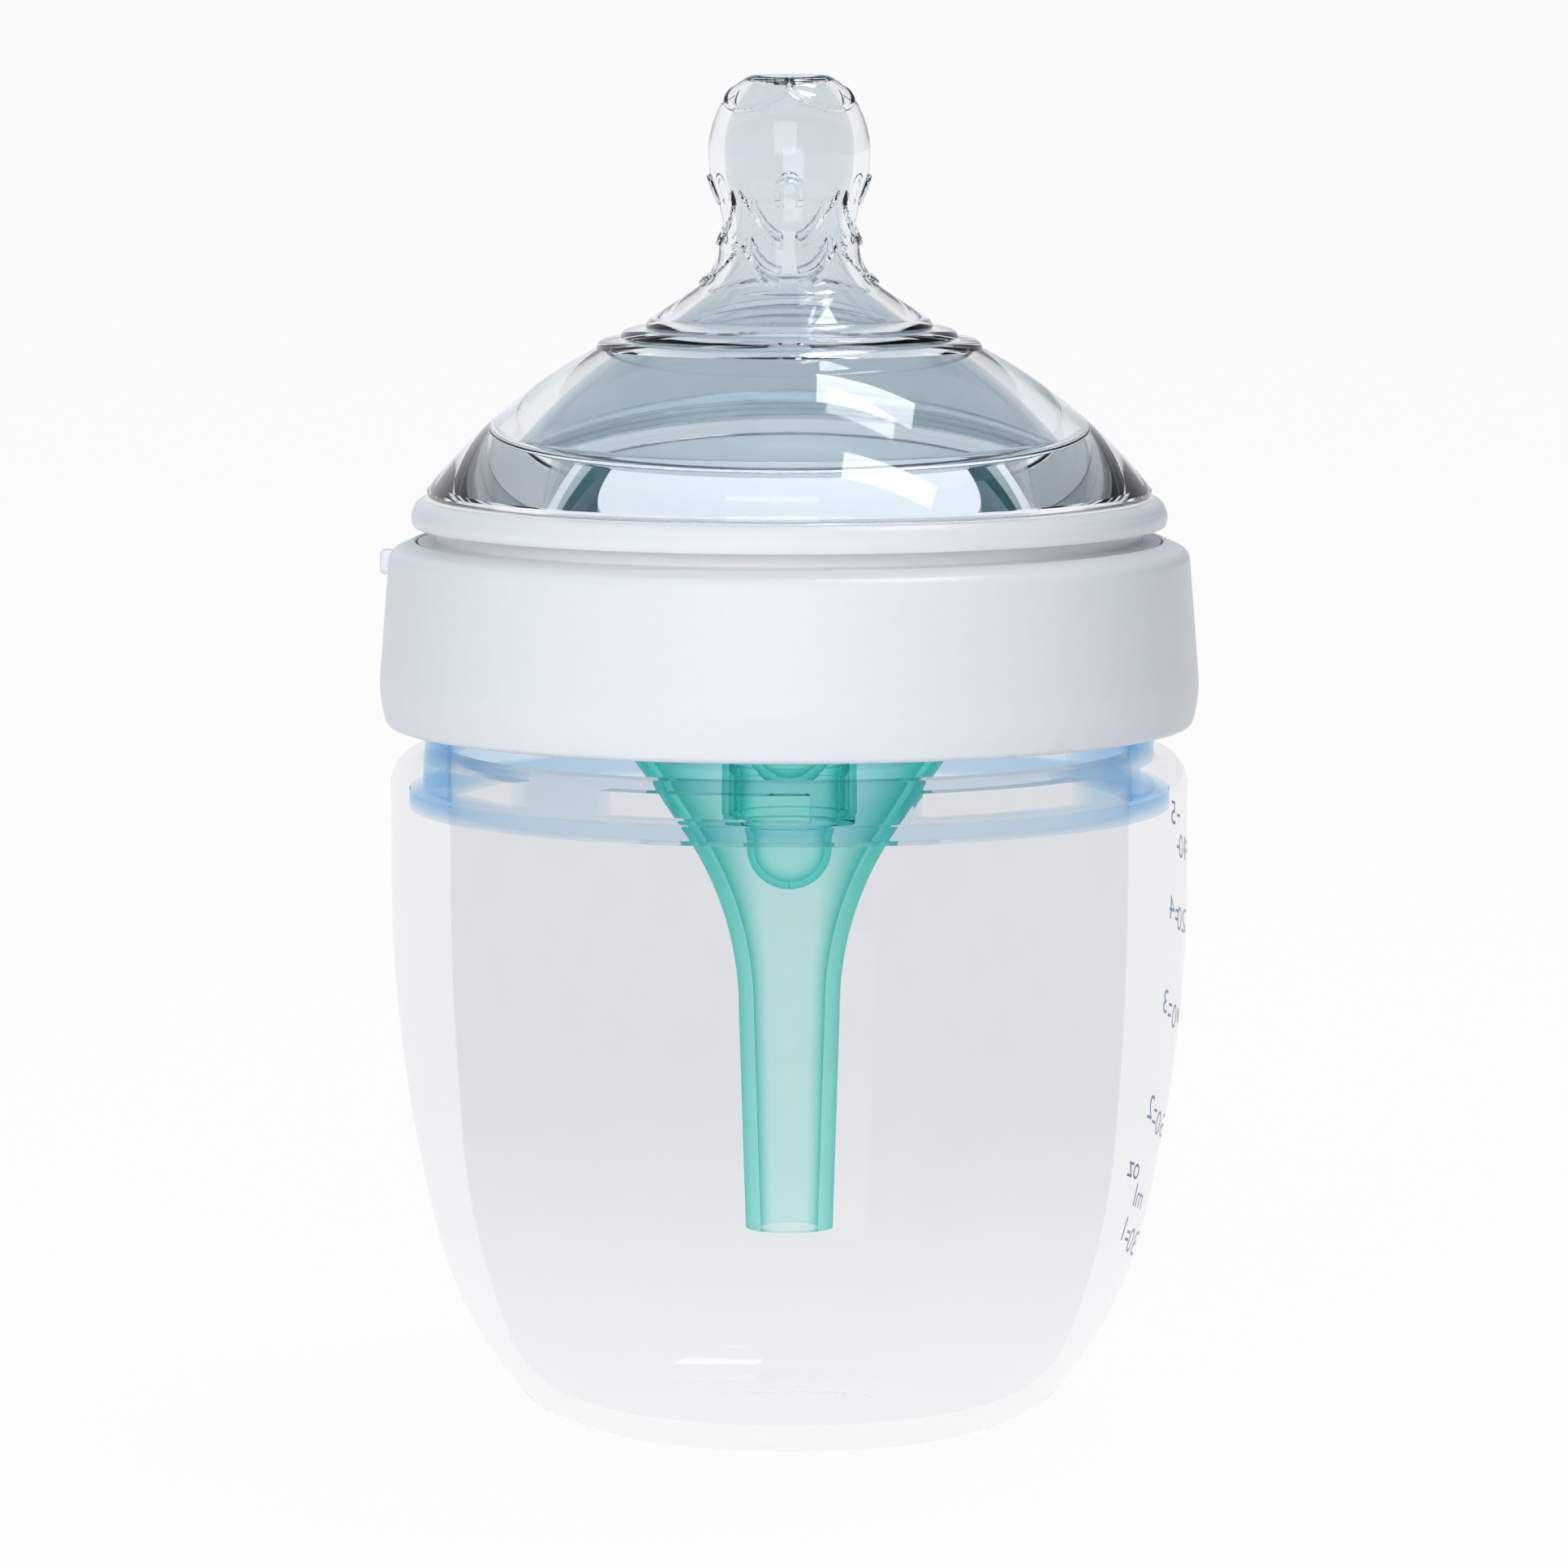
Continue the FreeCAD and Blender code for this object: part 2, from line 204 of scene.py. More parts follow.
def blocks_into(bm, radii, heights, angles, filled):
    points = {}
    count = len(angles)

    def at(i, k, j):
        key = (i, k, j % count)
        if key not in points:
            r, a = radii[i] * mm, angles[j % count]
            points[key] = bm.verts.new((r * math.cos(a), r * math.sin(a), heights[k] * mm))
        return points[key]

    def full(i, k, j):
        return 0 <= i < len(radii) - 1 and 0 <= k < len(heights) - 1 and filled(i, k, j % count)

    def close(i, k, j, side):
        if not full(i - 1 + 2 * side, k, j):
            bm.faces.new([at(i + side, k + u, j + w) for u, w in corners])
        if not full(i, k - 1 + 2 * side, j):
            bm.faces.new([at(i + u, k + side, j + w) for u, w in corners])
        if not full(i, k, j - 1 + 2 * side):
            bm.faces.new([at(i + u, k + w, j + side) for u, w in corners])

    for i in range(len(radii) - 1):
        for k in range(len(heights) - 1):
            for j in range(count):
                if full(i, k, j):
                    close(i, k, j, 0)
                    close(i, k, j, 1)


print("a block has up to", 3 * 2, "faces of", len(corners), "corners")

# %% [markdown]
# Windows and ports are spread evenly round a ring. An even grid would cut them at the wrong places, so
# each opening gets its own strips, and so does each bar between two openings.

# %% Opening helper
def split_angles(first, count, opening, inside, beside):
    """Angles for evenly spread openings: each has so many strips inside and so many beside it."""
    step = 2 * math.pi / count
    angles = []
    for n in range(count):
        start = first + step * n - opening / 2
        angles += [start + opening * k / inside for k in range(inside)]
        angles += [start + opening + (step - opening) * k / beside for k in range(beside)]
    return angles


sample = split_angles(0, 2, math.pi / 2, 1, 1)
print("two openings of a right angle:", [round(math.degrees(a)) for a in sample])

# %% [markdown]
# A screw thread is a small ridge that climbs by one lead with each turn. The Screw modifier can climb
# too. Here each cross-section is placed by code, because the ends can then run out into the wall, as
# they do on a moulded thread.

# %% Thread helper
thread_lead = 5.0
thread_turns = 1.25
thread_strips = 180
run_out_strips = 10
root_depth = 0.3
root_half, crest_half = 1.1, 0.6


def thread_into(bm, wall_r, crest_r, z0):
    root_r = wall_r + math.copysign(root_depth, wall_r - crest_r)
    rows = []
    for n in range(thread_strips + 1):
        a = 2 * math.pi * thread_turns * n / thread_strips
        z = z0 + thread_lead * thread_turns * n / thread_strips
        share = min(1, n / run_out_strips, (thread_strips - n) / run_out_strips)
        top_r = wall_r + (crest_r - wall_r) * share
        profile = ((root_r, -root_half), (top_r, -crest_half), (top_r, crest_half), (root_r, root_half))
        rows.append([bm.verts.new((r * math.cos(a) * mm, r * math.sin(a) * mm, (z + up) * mm))
                     for r, up in profile])
    for low, high in zip(rows, rows[1:]):
        for k in range(4):
            bm.faces.new((low[k], low[(k + 1) % 4], high[(k + 1) % 4], high[k]))
    bm.faces.new(rows[0])
    bm.faces.new(rows[-1])


print("the thread climbs", thread_lead * thread_turns, "mm")

# %% [markdown]
# No moulded edge is razor sharp. The edges could be rounded in the mesh. A Bevel modifier was chosen:
# it takes only the hard edges, and leaves the mesh below it plain, so the width is easy to change.

# %% Edge helper
hard_edge = 40


def soften(obj, width):
    """Tiny rounding on the hard edges, as a mould leaves it."""
    bevel = obj.modifiers.new("mould_edges", "BEVEL")
    bevel.width = width * mm
    bevel.segments = 2
    bevel.limit_method = "ANGLE"
    bevel.angle_limit = math.radians(hard_edge)
    bevel.harden_normals = True


print("edges above", hard_edge, "degrees are rounded")

# %% [markdown]
# Moulded plastic and silicone are smooth, with a faint unevenness. A picture could show it, but it
# would need unwrapping and would repeat. A fine noise was chosen: it drives the tone, the roughness and
# a low bump.

# %% Moulded finish
def moulded(name, colour, roughness, clear=0.0, ior=1.46, ripple=0.02, scale=180.0, spread=0.03):
    """Moulded plastic or silicone: noise gives its roughness and its surface a slight unevenness."""
    material = bpy.data.materials.new(name)
    material.use_nodes = True
    nodes = material.node_tree.nodes
    links = material.node_tree.links
    shader = nodes["Principled BSDF"]
    shader.inputs["Transmission Weight"].default_value = clear
    shader.inputs["IOR"].default_value = ior
    coords = nodes.new("ShaderNodeTexCoord")
    noise = nodes.new("ShaderNodeTexNoise")
    noise.inputs["Scale"].default_value = scale
    noise.inputs["Detail"].default_value = 3
    links.new(coords.outputs["Object"], noise.inputs["Vector"])
    rough = nodes.new("ShaderNodeMapRange")
    rough.inputs["To Min"].default_value = max(0.0, roughness - spread)
    rough.inputs["To Max"].default_value = roughness + spread
    links.new(noise.outputs["Fac"], rough.inputs["Value"])
    links.new(rough.outputs["Result"], shader.inputs["Roughness"])
    tone = nodes.new("ShaderNodeValToRGB")
    tone.color_ramp.elements[0].position = 0.3
    tone.color_ramp.elements[0].color = [c * 0.985 for c in colour] + [1]
    tone.color_ramp.elements[1].position = 0.7
    tone.color_ramp.elements[1].color = list(colour) + [1]
    links.new(noise.outputs["Fac"], tone.inputs["Fac"])
    links.new(tone.outputs["Color"], shader.inputs["Base Color"])
    bump = nodes.new("ShaderNodeBump")
    bump.inputs["Strength"].default_value = ripple
    bump.inputs["Distance"].default_value = 0.0002
    links.new(noise.outputs["Fac"], bump.inputs["Height"])
    links.new(bump.outputs["Normal"], shader.inputs["Normal"])
    return material


print("moulded finishes start from an index of", moulded.__defaults__[1])

# %% [markdown]
# Tinted clear plastic gets its colour from its depth: thin walls look pale and edges deep. A coloured
# surface alone doesn't give that, so an absorbing volume does. In the photo the thick soft body and the
# ring in it hardly bend light, so their index is near 1, and a clear coat carries the gloss.

# %% Depth and gloss
silicone_index = 1.41


def deepen(material, colour, density):
    """Let the material take light away with depth: density is per metre, colour is what is left."""
    nodes = material.node_tree.nodes
    depth = nodes.new("ShaderNodeVolumeAbsorption")
    depth.inputs["Color"].default_value = (*colour, 1)
    depth.inputs["Density"].default_value = density
    material.node_tree.links.new(depth.outputs["Volume"], nodes["Material Output"].inputs["Volume"])
    return material


def coated(material, weight):
    """Gloss without bending: a clear coat carries the reflections."""
    shader = material.node_tree.nodes["Principled BSDF"]
    shader.inputs["Coat Weight"].default_value = weight
    shader.inputs["Coat Roughness"].default_value = 0.04
    shader.inputs["Coat IOR"].default_value = silicone_index
    return material


print("light left after 3 mm at a density of 100: %.2f" % math.exp(-100 * 3 * mm))

# %% [markdown]
# The tints change over a piece. The body turns paler towards its foot, which is painted light, and the
# teat's inside turns darker in its dome, which is painted shade. A tinted wall is deeper where it is seen
# edge-on. Two objects could carry two tints. Here a second colour is mixed in, by height or by the Layer
# Weight node, which suits glass because it follows the angle of the surface.

# %% Changing tints
def blend_tint(material, colour, amount):
    """Mix another colour into the tint, by the amount that a node's output gives."""
    tint = material.node_tree.nodes["Principled BSDF"].inputs["Base Color"]
    mix = material.node_tree.nodes.new("ShaderNodeMixRGB")
    mix.inputs[2].default_value = (*colour, 1)
    material.node_tree.links.new(tint.links[0].from_socket, mix.inputs[1])
    material.node_tree.links.new(amount, mix.inputs["Fac"])
    material.node_tree.links.new(mix.outputs["Color"], tint)
    return material


def step_between(material, value, start, end):
    """A node that goes from 0 to 1 while the value goes from start to end."""
    step = material.node_tree.nodes.new("ShaderNodeMapRange")
    step.inputs["From Min"].default_value = start
    step.inputs["From Max"].default_value = end
    material.node_tree.links.new(value, step.inputs["Value"])
    return step.outputs["Result"]


def fade_down(material, colour, low, high):
    """Let the tint turn into another colour downwards, between two heights in millimetres."""
    nodes = material.node_tree.nodes
    split = nodes.new("ShaderNodeSeparateXYZ")
    material.node_tree.links.new(nodes.new("ShaderNodeTexCoord").outputs["Object"], split.inputs["Vector"])
    return blend_tint(material, colour, step_between(material, split.outputs["Z"], high * mm, low * mm))


def deep_edges(material, colour, start=0.2, end=0.9):
    """Tinted clear walls are deeper where they are seen edge-on: the Layer Weight node tells how much."""
    weight = material.node_tree.nodes.new("ShaderNodeLayerWeight")
    return blend_tint(material, colour, step_between(material, weight.outputs["Facing"], start, end))


print("Facing of a wall turned by 60 degrees: %.2f" % (1 - math.cos(math.radians(60))))

# %% [markdown]
# The body and the teat are both clear silicone. The teat bends light about as much as glass does, the
# body hardly at all. One finish each would do for thin walls. Each has a second finish for its inside,
# which doesn't shine and is a greyer copy of the silicone: painted shade in the hollow, slight in the
# body and strong in the teat.

# %% Clear silicone
body_silicone = coated(moulded("body_silicone", (0.868, 0.876, 0.886), 0.015, clear=1.0, ior=1.006,
                               ripple=0.0, spread=0.01), 0.35)
body_inside = moulded("body_inside", (0.862, 0.872, 0.884), 0.03, clear=1.0, ior=1.001,
                      ripple=0.0, spread=0.02)
# Painted light: the body's tint, inside and out, turns paler towards the foot.
for silicone in (body_silicone, body_inside):
    fade_down(silicone, (0.95, 0.955, 0.96), 3, 30)
teat_silicone = moulded("teat_silicone", (0.91, 0.937, 0.96), 0.02, clear=1.0, ior=silicone_index,
                        ripple=0.002, spread=0.015)
# Painted shade: the inside of the teat is a greyer copy of its silicone.
teat_shaded_inside = moulded("teat_shaded_inside", (0.73, 0.77, 0.81), 0.04, clear=1.0, ior=silicone_index,
                      ripple=0.002, spread=0.02)
# Painted shade: the teat's inside turns darker still low in the dome.
fade_down(teat_shaded_inside, (0.40, 0.48, 0.535), 101, 107)
print("silicone finishes", [m.name for m in (body_silicone, body_inside, teat_silicone, teat_shaded_inside)])

# %% [markdown]
# The neck ring is clear blue, and the funnel, the sleeve and the soft valve are clear teal. They could
# be plain coloured glass, but then thick and thin walls would look alike, so their colour comes from
# depth. The collar and the rings by it are satin white, and the hidden seal is a dull pale silicone.

# %% Tinted and white plastic
ring_blue = coated(deepen(moulded("ring_blue", (0.95, 0.97, 0.985), 0.015, clear=1.0, ior=1.004, ripple=0.0,
                                  spread=0.01), (0.03, 0.50, 0.85), 72), 0.2)
vent_teal = deepen(moulded("vent_teal", (0.985, 0.998, 0.996), 0.02, clear=1.0, ior=1.04, ripple=0.0),
                   (0.04, 0.88, 0.81), 140)
deep_edges(vent_teal, (0.01, 0.62, 0.57))
valve_teal = deepen(moulded("valve_teal", (0.97, 0.995, 0.99), 0.06, clear=1.0, ior=1.04, ripple=0.0),
                    (0.06, 0.86, 0.82), 220)
deep_edges(valve_teal, (0.06, 0.72, 0.68))
collar_white = moulded("collar_white", (0.90, 0.905, 0.92), 0.30, ripple=0.004, scale=700.0, spread=0.015)
seal_pale = moulded("seal_pale", (0.85, 0.87, 0.88), 0.35, clear=0.5, ior=silicone_index)
print("plastic finishes", [m.name for m in (ring_blue, vent_teal, valve_teal, collar_white, seal_pale)])

# %% [markdown]
# The body is one thick soft moulding. Three tangent arcs run from the foot to the belly, and three more
# shape the hollow. Sculpting could bend a cylinder to that outline, but arcs with a radius and an angle
# can be measured on the photo. These helpers add up how far the arcs reach in and rise.

# %% Arcs of the body
body_r = 37.5
belly = ((139.4, 14.0), (37.2, 26.6), (9.34, 49.4))
hollow_r = 31.8
hollow = ((308.6, 5.0), (63.0, 17.0), (8.9, 68.0))
floor_z = 2.4
floor_dome = (10.0, 1.3)
punt = (14.5, 1.2)
shoulder_z = 60.5
shoulder_r = 3.6
fit_gap = 0.1
neck_r = 34.3
flange = (35.6, 58.3, 60.05)


def drop_of(arcs):
    turned, total = 0.0, 0.0
    for radius, angle in arcs:
        total += radius * (math.sin(math.radians(turned + angle)) - math.sin(math.radians(turned)))
        turned += angle
    return total


def reach_of(arcs):
    turned, total = 0.0, 0.0
    for radius, angle in arcs:
        total += radius * (math.cos(math.radians(turned)) - math.cos(math.radians(turned + angle)))
        turned += angle
    return total


def ball_point(rim, dome, share):
    ball = (rim * rim + dome * dome) / (2 * dome)
    a = math.asin(rim / ball) * share
    return ball * math.sin(a), -ball * (1 - math.cos(a))


print("the belly comes in by %.1f mm" % reach_of(belly))

# %% [markdown]
# The silicone hugs the neck ring without a film of air. The outline could stop at the ring, but two
# clear skins face to face would shine. It runs through the ring's wall instead: the ring then lies in
# the silicone, and the seven keys are the silicone that fills the ring's windows.

# %% Body
mouth_r = neck_r + fit_gap
hug_depth = 0.25
hug_r = hollow_r + hug_depth
mid_r, mid_drop = ball_point(punt[0], punt[1], 0.5)
section = Outline(0, punt[1], step=0.4)
section.arc((mid_r, punt[1] + mid_drop), (punt[0], 0))
section.line(body_r - reach_of(belly), 0)
for radius, angle in reversed(belly):
    section.turn(radius, angle)
section.line(body_r, shoulder_z)
body_outer = [point for point in section.points if point[0] > punt[0]]
section.turn(shoulder_r, math.degrees(math.acos((mouth_r - body_r + shoulder_r) / shoulder_r)))
lip_z = section.points[-1][1]
section.line(hug_r, lip_z)
section.line(hug_r, flange[1] + 0.6)
section.line(hollow_r, flange[1] - fit_gap)
section.line(hollow_r, floor_z + drop_of(hollow))
for radius, angle in hollow:
    section.turn(radius, -angle)
section.line(floor_dome[0], floor_z)
mid_r, mid_drop = ball_point(floor_dome[0], floor_dome[1], 0.5)
section.arc((mid_r, floor_z + floor_dome[1] + mid_drop), (0, floor_z + floor_dome[1]))

bm = bmesh.new()
body_strips = 432
spin_into(bm, section.points, even_angles(body_strips))
body = finish_mesh("soft_body", bm, "bottle", body_silicone)
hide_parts("bottle_body")

# %% [markdown]
# The hollow of the body has the second finish. Its faces could be picked by hand in Edit Mode. Here
# they are found by their normals: they look at the axis, or up from the floor of the hollow.

# %% Hollow of the body
body.data.materials.append(body_inside)
inside_faces = 0
for polygon in body.data.polygons:
    outward = Vector((polygon.center.x, polygon.center.y, 0))
    on_floor = outward.length / mm < hollow_r - 0.5 and polygon.normal.z > 0
    if polygon.normal.dot(outward) < 0 or on_floor:
        polygon.material_index = 1
        inside_faces += 1
print("hollow:", inside_faces, "faces")

# %% [markdown]
# Fine bowed ribs, small arches and a scalloped line round the tip are moulded into the teat. A bump in
# the finish could fake them, but they show in the outline, so they are real: this gives the height of
# the ribs at any place on the nipple, and the teat's mesh is pushed out by it.

# %% Ribs of the teat
front = -math.pi / 2
ribbed_z = (106.5, 126)
rib_repeat = 90
bow_rows = ((111.3, 4.6), (107.7, 3.4))
bow_start, bow_end, bow_fade = 6.5, 42.0, 1.5
bow_tall, bow_half = 0.42, 0.42
arch_foot, arch_z, arch_r = 114.9, 116.4, 1.0
arch_tall, arch_half = 0.36, 0.34
petal_z, petal_rise = 123.95, 1.75
petal_tall, petal_half = 0.16, 0.24
waist_r, bulb_r = 6.6, 6.9


def ridge(distance, width):
    """Bar with a flat crown and short rounded flanks."""
    share = min(1.0, max(0.0, (width - distance) / (0.45 * width)))
    return share * share * (3 - 2 * share)


def bow_height(z, off, low, rise):
    if not bow_start < off < bow_end:
        return 0.0
    slope = 2 * rise * off / bow_end**2 / math.radians(1) / waist_r
    gap = abs(z - low - rise * (off / bow_end) ** 2) / math.hypot(1, slope)
    ends = min(1, (off - bow_start) / bow_fade, (bow_end - off) / bow_fade)
    return bow_tall * ends * ridge(gap, bow_half)


def arch_height(z, off):
    if z <= arch_foot:
        return 0.0
    gap = abs(math.hypot(math.radians(off) * bulb_r, max(0.0, z - arch_z)) - arch_r)
    return arch_tall * ridge(gap, arch_half)


def petal_height(z, off):
    line_z = petal_z + petal_rise * (1 - 2 * off / rib_repeat) ** 2
    return petal_tall * ridge(abs(z - line_z), petal_half)


def rib_height(z, a):
    """Height in mm of the ribs at a place on the nipple: a is the angle about the axis."""
    if not ribbed_z[0] < z < ribbed_z[1]:
        return 0.0
    off = abs((math.degrees(a - front) + rib_repeat / 2) % rib_repeat - rib_repeat / 2)
    bows = [bow_height(z, off, low, rise) for low, rise in bow_rows]
    return max(*bows, arch_height(z, off), petal_height(z, off))


tallest = max(rib_height(z / 10, front + n / 50) for z in range(1065, 1260) for n in range(80))
print("tallest rib %.2f mm" % tallest)

# %% [markdown]
# The teat is one soft moulding: a foot held in the ring, a dome that gets thicker downwards, three
# steps, and a nipple with a waist. Subdivision could round a rough cage. An outline of arcs was chosen,
# because the steps are small and crisp and a smoothed cage would lose them. The outside comes first,
# from the foot to the tip.

# %% Outside of the teat
teat_foot = (33.65, 81.25, 83.2)
teat_waist_r = 31.7
teat_seat_z = 87.45
teat_top = 127.0
shelf = (23.4, 89.9)
hole_r = 0.3

section = Outline(shelf[0] + 1.1, teat_foot[1], step=0.4)
section.line(teat_foot[0], teat_foot[1])
section.line(teat_foot[0], teat_foot[2])
section.line(teat_waist_r, teat_foot[2])
section.line(teat_waist_r, teat_seat_z)
section.line(33.55, teat_seat_z)
section.turn(0.5, 90)
section.line(34.05, 88.2)
section.arc((27.95, 94.65), (18.15, 101.45))
section.step = 0.12
section.arc((17.75, 102.1), (17.1, 102.35))
section.line(15.9, 102.5)
section.arc((15.5, 103.08), (14.9, 103.35))
section.line(13.5, 103.5)
section.arc((13.25, 104.0), (12.8, 104.35))
section.line(8.95, 106.9)
section.arc((7.3, 108.7), (6.6, 111.0))
section.arc((6.37, 113.3), (6.75, 115.6))
section.arc((7.6, 119.3), (6.45, 124.2))
section.arc((5.5, 125.6), (4.3, 126.55))
section.arc((3.75, 126.87), (3.1, teat_top))
section.line(hole_r, teat_top)
outer_count = len(section.points)
print("outside of the teat:", outer_count, "points")

# %% [markdown]
# The inside follows the outside at a wall that gets thicker downwards, and ends on a shelf over the
# plate. A Solidify modifier would give the same wall everywhere, so the inside is drawn as its own row
# of arcs.

# %% Inside of the teat
tip_inside = 125.7
section.line(hole_r, tip_inside)
section.line(3.5, tip_inside)
section.step = 0.3
section.arc((5.2, 123.7), (6.05, 120.6))
section.arc((6.0, 118.4), (5.25, 115.4))
section.arc((5.0, 113.2), (5.15, 110.8))
section.arc((5.75, 108.2), (7.3, 106.0))
section.line(11.6, 102.6)
section.arc((19.3, 97.4), (25.4, 91.4))
section.arc((25.3, 90.4), (24.6, shelf[1]))
section.line(shelf[0] + 0.6, shelf[1])
section.arc((shelf[0] + 0.1, shelf[1] - 0.25), (shelf[0], shelf[1] - 0.8))
ring_count = len(section.points)
print("whole teat:", ring_count, "points")

# %% [markdown]
# Now the outline is spun, with the ribs pushed out of its outside only. Cycles casts the shadow of a
# clear piece as if it were opaque. The thin walls let most light through, so the teat casts no shadow
# at all.

# %% Teat
def rib_push(index, r, z, a):
    return rib_height(z, a) if index < outer_count else 0.0


bm = bmesh.new()
teat_strips = 360
spin_into(bm, section.points, even_angles(teat_strips), rib_push)
teat = finish_mesh("soft_teat", bm, "head", teat_silicone)
teat.data.materials.append(teat_shaded_inside)
for index, polygon in enumerate(teat.data.polygons):
    if outer_count <= index // teat_strips < ring_count - 1:
        polygon.material_index = 1
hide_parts("teat")
teat.visible_shadow = False

# %% [markdown]
# The slit valve is a thin soft dome under a flange, plugged into the sleeve. Its slit is too fine to
# see as a gap, and cutting it would leave open edges. So it is two crossed creases pressed into the
# dome.

# %% Valve
valve_r = 4.0
valve_wall = 0.65
valve_centre = 54.4
valve_flange = (6.2, 56.6)
sleeve_z = 57.55
plug_r, plug_in, plug_z = 5.25, 4.6, 61.1
barb_r, barb_low, barb_top = 5.65, 61.8, 62.3
crease_reach, crease_depth = 1.7, 0.25
hidden_strips = 160

section = Outline(0, valve_centre - valve_r, step=0.15)
section.turn(valve_r, 90)
section.line(valve_r, valve_centre + 1.0)
section.line(valve_r + 0.4, valve_flange[1])
section.line(valve_flange[0] - 0.3, valve_flange[1])
section.turn(0.3, 90)
section.line(valve_flange[0], sleeve_z - 0.05)
section.line(plug_r, sleeve_z - 0.05)
section.line(plug_r, plug_z)
section.line(barb_r, barb_low)
section.line(barb_r, barb_top)
section.line(plug_in + 0.3, barb_top)
section.line(plug_in, plug_z)
section.line(plug_in, valve_flange[1] + 0.3)
section.line(valve_r - valve_wall, valve_centre + 1.2)
section.line(valve_r - valve_wall, valve_centre)
section.turn(valve_r - valve_wall, -90)
bm = bmesh.new()
spin_into(bm, section.points, even_angles(hidden_strips))
for vert in bm.verts:
    x, y, z = (c / mm for c in vert.co)
    on_skin = z < valve_centre - 3 and math.hypot(x, y, z - valve_centre) > valve_r - 0.1
    if on_skin and min(abs(x), abs(y)) < 0.01 and max(abs(x), abs(y)) < crease_reach:
        vert.co.z += crease_depth * mm
valve = finish_mesh("slit_valve", bm, "head", valve_teal)
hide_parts("vent_valve")

# %% [markdown]
# A flat washer seals the funnel's flange on the rim of the neck. A torus would be too round for it, so
# it is a small rectangle with its lower edges cut off, spun like the rest. It hardly shows.

# %% Seal
seal_in, seal_out = 31.9, 34.0
seal_low, seal_top = 77.65, 78.6
seal_cut = 0.1
section = Outline(seal_in + seal_cut, seal_low, step=0.2)
section.line(seal_out - seal_cut, seal_low)
section.line(seal_out, seal_low + seal_cut)
section.line(seal_out, seal_top)
section.line(seal_in, seal_top)
section.line(seal_in, seal_low + seal_cut)
bm = bmesh.new()
spin_into(bm, section.points, even_angles(hidden_strips))
seal = finish_mesh("rim_washer", bm, "head", seal_pale)
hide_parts("rim_seal")

# %% [markdown]
# The neck ring is rigid and clear blue. Its flange sits in the groove of the body, the seven windows
# take the body's keys, and the collar's thread runs on the outside. The windows could be cut with
# booleans. Blocks were chosen, because their edges stay clean enough for a Bevel modifier.

# %% Neck ring
window_count = 7
window_angle = math.radians(34.0)
window_z = (60.4, 62.8)
window_first = math.radians(-103.7)
window_strips, bar_strips = 24, 14
neck_thread = (35.75, 70.0)
neck_top = 77.6
neck_edge = 0.2
ring_angles = split_angles(window_first, window_count, window_angle, window_strips, bar_strips)
ring_radii = (hollow_r, neck_r, flange[0])
ring_heights = (flange[1], flange[2], window_z[0], window_z[1], neck_thread[1] - 1, neck_top)


def ring_filled(i, k, j):
    if i == 1:
        return k == 0
    return k != 2 or j % (window_strips + bar_strips) >= window_strips


bm = bmesh.new()
blocks_into(bm, ring_radii, ring_heights, ring_angles, ring_filled)
thread_into(bm, neck_r, *neck_thread)
neck = finish_mesh("clear_neck", bm, "bottle", ring_blue)
soften(neck, neck_edge)
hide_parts("neck_ring")
neck.visible_shadow = False

# %% [markdown]
# The collar is a plain white moulding with a thread inside and a small lug on its left. The packed
# solid could be shown as it is, but a spun outline has cleaner highlights. The lug is a cube with
# rounded edges.

# %% Collar
white_strips = 256
lug_centre, lug_size, lug_round = (-37.55, 0, 81.35), (1.8, 2.6, 2.3), 0.45
collar_in, collar_foot = 36.3, 66.05
collar_thread = (34.8, 68.1)
lip_in, ledge_z = 35.1, 82.3
section = Outline(collar_in, collar_foot + 0.5, step=0.3)
section.arc((36.45, 66.2), (36.8, collar_foot))
section.line(37.2, collar_foot)
section.arc((37.75, 66.25), (38.0, 66.65))
section.arc((38.44, 68.85), (38.5, 70.65))
section.line(37.65, 81.6)
section.arc((37.35, 82.4), (36.7, 82.83))
section.line(35.35, 83.45)
section.arc((35.17, 83.38), (lip_in, 83.2))
section.line(lip_in, ledge_z)
section.line(collar_in, ledge_z)
bm = bmesh.new()
spin_into(bm, section.points, even_angles(white_strips))
thread_into(bm, collar_in, *collar_thread)
lug = bmesh.ops.create_cube(bm, size=1)["verts"]
for vert in lug:
    vert.co = Vector([(at + size * c) * mm for at, size, c in zip(lug_centre, lug_size, vert.co)])
lug_edges = list(dict.fromkeys(edge for vert in lug for edge in vert.link_edges))
bmesh.ops.bevel(bm, geom=lug_edges, offset=lug_round * mm, segments=4, affect="EDGES", profile=0.5)
collar = finish_mesh("screw_collar", bm, "collar", collar_white)
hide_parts("collar")

# %% [markdown]
# The ring with the bead holds the foot of the teat and doesn't turn with the collar. It could be part
# of the collar's mesh, but then it would turn too, so it is a piece of its own. A deep groove under the
# bead gives the thin dark line that parts the two white pieces.

# %% Ring with the bead
grip_r, grip_z = 31.8, 83.25
skirt_in, skirt_out, skirt_z, stop_z = 33.75, 36.0, 80.35, 82.2
bead_neck_r, groove_r = 34.9, 33.2
bead_low, bead_top = 84.85, 87.4
section = Outline(grip_r, grip_z, step=0.2)
section.line(skirt_in, grip_z)
section.line(skirt_in, skirt_z)
section.line(skirt_out, skirt_z)
section.line(skirt_out, stop_z)
section.line(bead_neck_r, stop_z)
section.line(bead_neck_r, 83.35)
section.line(groove_r, 83.5)
section.line(groove_r, 84.7)
section.line(bead_neck_r, bead_low)
section.line(35.3, bead_low)
section.arc((35.52, 85.6), (35.3, 86.45))
section.arc((34.92, 87.1), (34.2, bead_top))
section.line(grip_r, bead_top)
bm = bmesh.new()
spin_into(bm, section.points, even_angles(white_strips))
